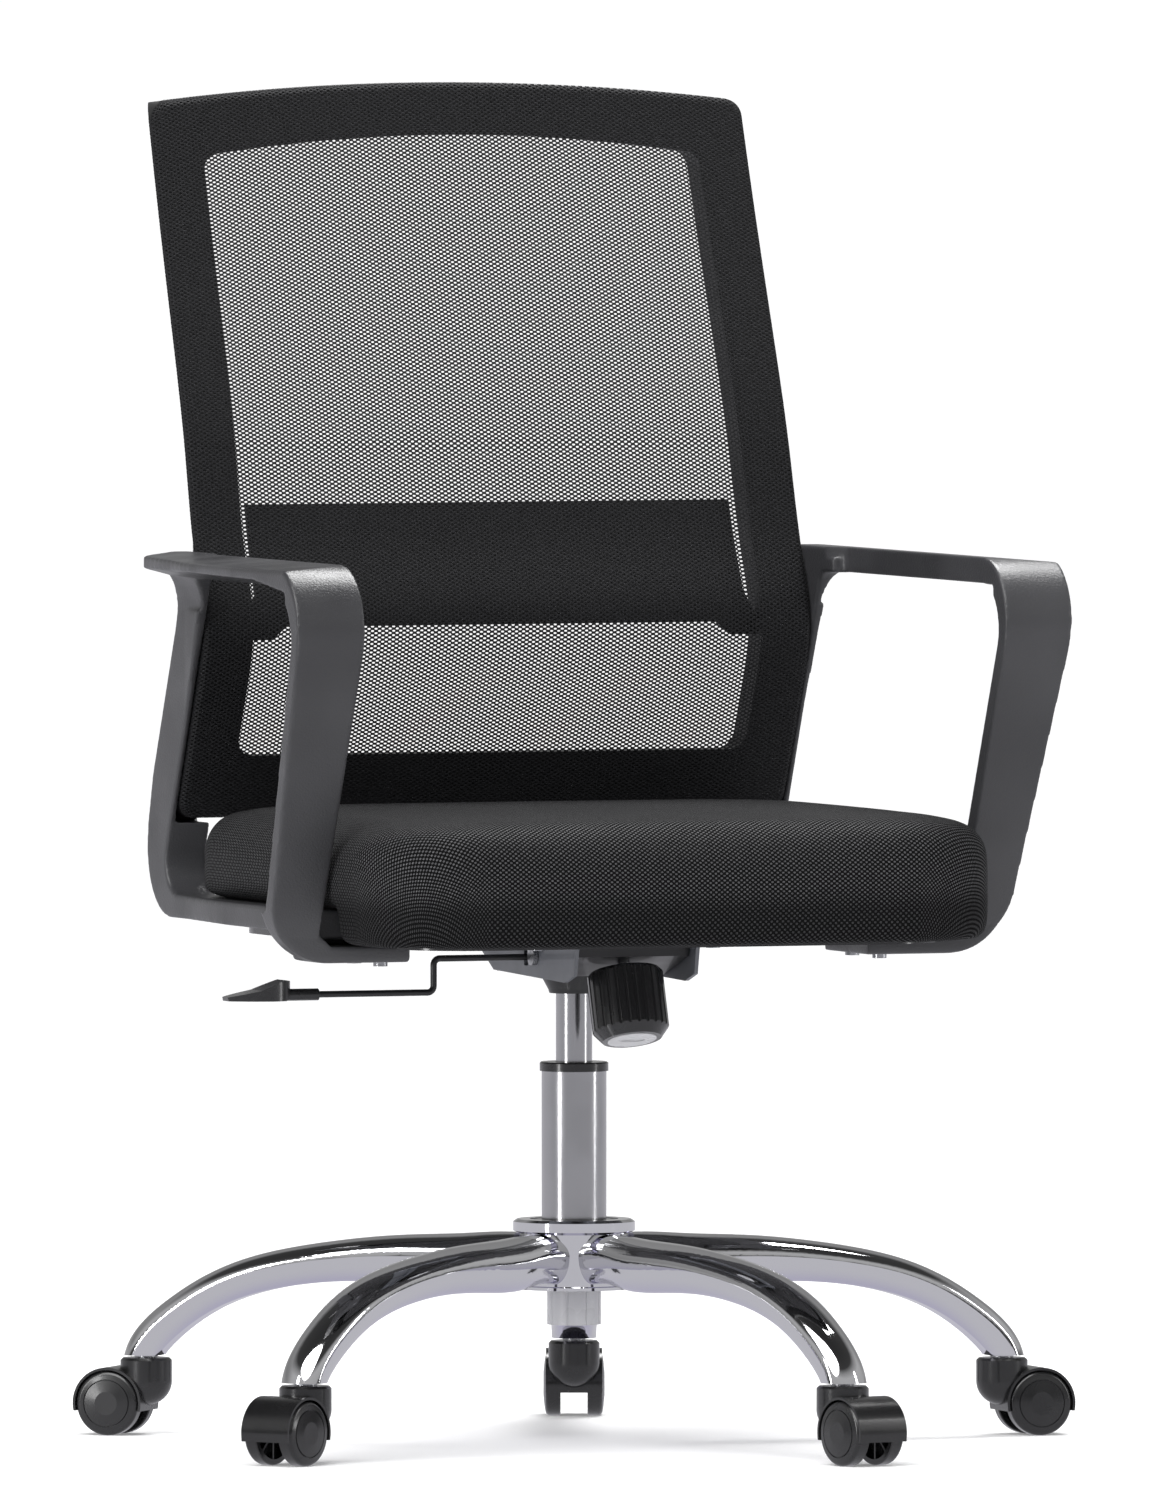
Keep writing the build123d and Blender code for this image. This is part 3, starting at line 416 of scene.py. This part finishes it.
def make_arm(node):
    """An arm with the soft edges of a moulding: the CAD solid remeshed finely and smoothed."""
    piece = new_piece(node + "_moulding", nodes[node].data.copy(), "arm_plastic", "seat")
    remesh = piece.modifiers.new("remesh", "REMESH")
    remesh.mode = "VOXEL"
    remesh.voxel_size = ARM_VOXEL
    smooth = piece.modifiers.new("smooth", "SMOOTH")
    smooth.factor = 0.5
    smooth.iterations = 6
    apply_modifiers(piece)
    shade_smooth(piece.data)
    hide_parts(node)


# ---------------------------------------------------------------- back cover

COVER_STAND_OFF = 0.5 * MM
COVER_EDGE_RADIUS = 5 * MM
COVER_CORNER = 14 * MM
COVER_WRAP = 24 * MM
COVER_TAPER = 11 / 26
FINE_ZONE = 16 * MM

# where the back starts to widen, and where its sides start to draw in towards the rear
BACK_WAIST = 0.7
TAPER_START = 0.64
TAPER_RAMP = 0.06
TAPER_FRONT = 6 * MM
ARCH_RISE = 15 * MM


class BackShape:
    """The back's front face, read from the CAD cover by looking along +Y."""

    def __init__(self):
        node = nodes["back_mesh"]
        graph = bpy.context.evaluated_depsgraph_get()
        self.tree = BVHTree.FromObject(node, graph)
        self.low, self.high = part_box("back_mesh")
        points = [v.co for v in node.data.vertices]
        upper = [p.x for p in points if p.z > self.high.z - 60 * MM]
        self.top_half = max(upper)
        self.low_half = max(p.x for p in points if p.z < self.low.z + 150 * MM)
        self.corner_height = self.high.z - ARCH_RISE

    def half_width(self, z):
        share = max(0.0, min(1.0, (z - BACK_WAIST) / (self.corner_height - BACK_WAIST)))
        return self.low_half + (self.top_half - self.low_half) * share

    def fall(self, x):
        """How far the arched top edge has fallen at a distance from the middle."""
        return (self.high.z - self.corner_height) * (x / self.top_half) ** 2

    def draw_in(self, z, depth):
        """How far the sides have drawn in at a depth behind the front: only above the arms."""
        ramp = max(0.0, min(1.0, (z - TAPER_START) / TAPER_RAMP))
        return COVER_TAPER * ramp * max(0.0, depth - TAPER_FRONT)

    def front(self, z):
        z = max(self.low.z + 1 * MM, min(self.high.z - 1 * MM, z))
        hit = self.tree.ray_cast(Vector((0.0, -1.0, z)), Vector((0, 1, 0)))
        return hit[0].y if hit[0] else self.low.y


def edge_path(e):
    """How far inside the outline, and how deep, fabric lies that starts e inside it.

    A negative e is fabric turned back past the edge.
    """
    if e >= COVER_EDGE_RADIUS:
        return e, 0.0
    angle = (COVER_EDGE_RADIUS - e) / COVER_EDGE_RADIUS
    if angle <= math.pi / 2:
        return COVER_EDGE_RADIUS * (1 - math.sin(angle)), COVER_EDGE_RADIUS * (1 - math.cos(angle))
    return 0.0, COVER_EDGE_RADIUS + (angle - math.pi / 2) * COVER_EDGE_RADIUS


def fabric_steps(length, border, fine, coarse):
    """Places from border before one edge to border past the other, closest near the edges."""
    places = []
    e = -border
    while e < FINE_ZONE:
        places.append(e)
        e += fine
    inner = int((length - 2 * e) / coarse)
    places += [e + (length - 2 * e) * k / inner for k in range(inner + 1)]
    return places + [length - p for p in reversed(places) if p < FINE_ZONE]


def make_back_cover():
    """The mesh cover: stretched over the frame's front and turned back round its edges."""
    shape = BackShape()
    border = COVER_WRAP
    width = 2 * shape.low_half
    height = shape.high.z - shape.low.z
    columns = fabric_steps(width, border, 2 * MM, 10 * MM)
    rows = fabric_steps(height, border, 2 * MM, 8 * MM)
    arc = arc_lengths(shape)
    bm = bmesh.new()
    layer = bm.loops.layers.uv.new("weave")
    grid = []
    places = {}
    for row in rows:
        line = []
        for column in columns:
            vertex = bm.verts.new(cover_point(shape, column, row, width, height))
            places[vertex] = (column - width / 2, arc(row))
            line.append(vertex)
        grid.append(line)
    for below, above in zip(grid, grid[1:]):
        for k in range(len(below) - 1):
            face = bm.faces.new((below[k], below[k + 1], above[k + 1], above[k]))
            for loop in face.loops:
                loop[layer].uv = places[loop.vert]
    mesh = bpy.data.meshes.new("back_cover")
    bm.to_mesh(mesh)
    bm.free()
    shade_smooth(mesh)
    piece = new_piece("back_cover", mesh, "back_fabric", "seat")
    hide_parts("back_mesh")


def arc_lengths(shape):
    """Length along the back's curve from its lower edge, as a function of height above that edge."""
    step = 2 * MM
    count = int((shape.high.z - shape.low.z) / step)
    fronts = [shape.front(shape.low.z + k * step) for k in range(count + 1)]
    lengths = [0.0]
    for a, b in zip(fronts, fronts[1:]):
        lengths.append(lengths[-1] + math.hypot(b - a, step))

    def length(row):
        k = max(0, min(count - 1, int(row / step)))
        return lengths[k] + (row / step - k) * (lengths[k + 1] - lengths[k])

    return length


def cover_point(shape, column, row, width, height):
    """Where a point of the cover's fabric lies."""
    side = 1 if column > width / 2 else -1
    ex = (width - column) if side > 0 else column
    upper = row > height / 2
    ez = (height - row) if upper else row
    vx, vz = COVER_CORNER - ex, COVER_CORNER - ez
    if vx > 0 and vz > 0:
        reach = max(vx, vz)
        along = Vector((vx, vz)).normalized()
        inside, depth = edge_path(COVER_CORNER - reach)
        ex = COVER_CORNER - along.x * (COVER_CORNER - inside)
        ez = COVER_CORNER - along.y * (COVER_CORNER - inside)
    else:
        inside_x, depth_x = edge_path(ex)
        inside_z, depth_z = edge_path(ez)
        ex, ez, depth = inside_x, inside_z, max(depth_x, depth_z)
    z = shape.high.z + COVER_STAND_OFF - ez if upper else shape.low.z - COVER_STAND_OFF + ez
    half = shape.half_width(z) + COVER_STAND_OFF - shape.draw_in(z, depth)
    x = side * half * (1 - ex / (width / 2))
    if upper:
        z -= shape.fall(x) * max(0.0, 1 - ez / (height / 2))
    return Vector((x, shape.front(z) - COVER_STAND_OFF + depth, z))


# ---------------------------------------------------------------- studio


def make_camera():
    """The main view: from the sitter's front right, a little above the seat, by a long lens."""
    data = bpy.data.cameras.new("camera")
    camera = bpy.data.objects.new("camera", data)
    bpy.context.scene.collection.objects.link(camera)
    bpy.context.scene.camera = camera
    camera.location = (
        VIEW_DISTANCE * math.sin(VIEW_AZIMUTH), -VIEW_DISTANCE * math.cos(VIEW_AZIMUTH), VIEW_HEIGHT
    )
    image_right = Vector((math.cos(VIEW_AZIMUTH), math.sin(VIEW_AZIMUTH), 0))
    aim = image_right * AIM_RIGHT + Vector((0, 0, AIM_HEIGHT))
    camera.rotation_mode = "QUATERNION"
    camera.rotation_quaternion = (aim - camera.location).to_track_quat("-Z", "Y")
    data.sensor_width = 36
    data.lens = 780
    data.clip_start = 1.0
    data.clip_end = 1000.0
    data.dof.use_dof = False


def add_light(kind, name, place, aim, energy, **settings):
    """A lamp at a place, facing a point."""
    data = bpy.data.lights.new(name, kind)
    data.energy = energy
    for key, value in settings.items():
        setattr(data, key, value)
    light = bpy.data.objects.new(name, data)
    light.location = place
    light.rotation_mode = "QUATERNION"
    light.rotation_quaternion = (Vector(aim) - Vector(place)).to_track_quat("-Z", "Y")
    bpy.context.scene.collection.objects.link(light)


def add_panel(name, place, aim, energy, size, size_y):
    """A rectangular lamp."""
    add_light("AREA", name, place, aim, energy, shape="RECTANGLE", size=size, size_y=size_y)


def height_ramp(tree, height, stops):
    """Grey levels by height above the horizon: 0 at the horizon and 1 overhead."""
    ramp = tree.nodes.new("ShaderNodeValToRGB")
    tree.links.new(height, ramp.inputs[0])
    elements = ramp.color_ramp.elements
    while len(elements) < len(stops):
        elements.new(0.5)
    for element, (position, level) in zip(elements, stops):
        element.position = position
        element.color = (level, level, level, 1)
    return ramp.outputs[0]


FRONT_LEVELS = (
    (0.0, 0.05), (0.10, 0.05), (0.20, 0.45), (0.50, 0.50), (0.62, 0.30), (0.72, 0.05), (1.0, 0.03)
)
REAR_LEVELS = ((0.0, 0.45), (0.12, 0.40), (0.30, 0.25), (0.55, 0.30), (0.70, 0.05), (1.0, 0.03))
GROUND_TONE = (0.62, 0.615, 0.655, 1)
FLOOR_RADIUS = 300

VIEW_AZIMUTH = math.radians(-21)
VIEW_DISTANCE = 25.0
VIEW_HEIGHT = 1.45
AIM_RIGHT = 0.0096
AIM_HEIGHT = 0.534


def make_world():
    """A dim studio: dark overhead and along the horizon in front, paler behind and below."""
    world = bpy.data.worlds.new("studio")
    bpy.context.scene.world = world
    world.use_nodes = True
    tree = world.node_tree
    background = tree.nodes["Background"]
    coords = tree.nodes.new("ShaderNodeTexCoord")
    parts = tree.nodes.new("ShaderNodeSeparateXYZ")
    tree.links.new(coords.outputs["Generated"], parts.inputs[0])
    side = tree.nodes.new("ShaderNodeMapRange")
    side.interpolation_type = "SMOOTHSTEP"
    side.inputs["From Min"].default_value = 0.1
    side.inputs["From Max"].default_value = 0.7
    tree.links.new(parts.outputs[1], side.inputs["Value"])
    mix = tree.nodes.new("ShaderNodeMix")
    mix.data_type = "RGBA"
    tree.links.new(side.outputs[0], mix.inputs[0])
    tree.links.new(height_ramp(tree, parts.outputs[2], FRONT_LEVELS), mix.inputs[6])
    tree.links.new(height_ramp(tree, parts.outputs[2], REAR_LEVELS), mix.inputs[7])
    below = tree.nodes.new("ShaderNodeMapRange")
    below.interpolation_type = "SMOOTHSTEP"
    for key, value in (("From Min", 0.02), ("From Max", -0.04), ("To Min", 0.0), ("To Max", 1.0)):
        below.inputs[key].default_value = value
    tree.links.new(parts.outputs[2], below.inputs["Value"])
    ground = tree.nodes.new("ShaderNodeMix")
    ground.data_type = "RGBA"
    tree.links.new(below.outputs[0], ground.inputs[0])
    tree.links.new(mix.outputs[2], ground.inputs[6])
    ground.inputs[7].default_value = GROUND_TONE
    tree.links.new(ground.outputs[2], background.inputs["Color"])
    background.inputs["Strength"].default_value = 1.0


def make_floor():
    """A wide white floor with a little light of its own.

    It is kept out of glossy reflections, where the world's ground tone stands in for it.
    """
    bm = bmesh.new()
    bmesh.ops.create_circle(bm, cap_ends=True, segments=96, radius=FLOOR_RADIUS)
    mesh = bpy.data.meshes.new("floor")
    bm.to_mesh(mesh)
    bm.free()
    floor = bpy.data.objects.new("floor", mesh)
    bpy.context.scene.collection.objects.link(floor)
    shader = Shader("floor", roughness=0.9, base_color=(0.90, 0.90, 0.905), specular_ior_level=0.0)
    shader.set(emission_color=(1.0, 1.0, 1.0), emission_strength=0.20)
    mesh.materials.append(shader.material)
    floor.visible_glossy = False


def make_studio():
    make_camera()
    make_world()
    make_floor()
    bpy.context.scene.view_settings.view_transform = "Standard"
    add_light("SUN", "key", (-1.2, -1.3, 2.4), (0, 0, 0), 2.9, angle=math.radians(50))
    add_panel("left_strip", (-3.3, -1.0, 1.0), (0, 0, 0.4), 34, 0.45, 2.0)
    add_panel("right_strip", (2.9, -1.8, 1.1), (0, 0, 0.6), 16, 0.35, 2.0)
    add_panel("top", (0.9, 0.75, 2.9), (0, -0.1, 0.7), 75, 1.5, 1.1)


# ---------------------------------------------------------------- assembly

paint_nodes()
make_studio()
make_cushion()
make_back_cover()
for arm in ("arm_left", "arm_right"):
    make_arm(arm)
for moulding in ("mechanism_housing", "seat_bracket", "lever_paddle", "lumbar_band"):
    bevel_edges(moulding, 0.8 * MM)
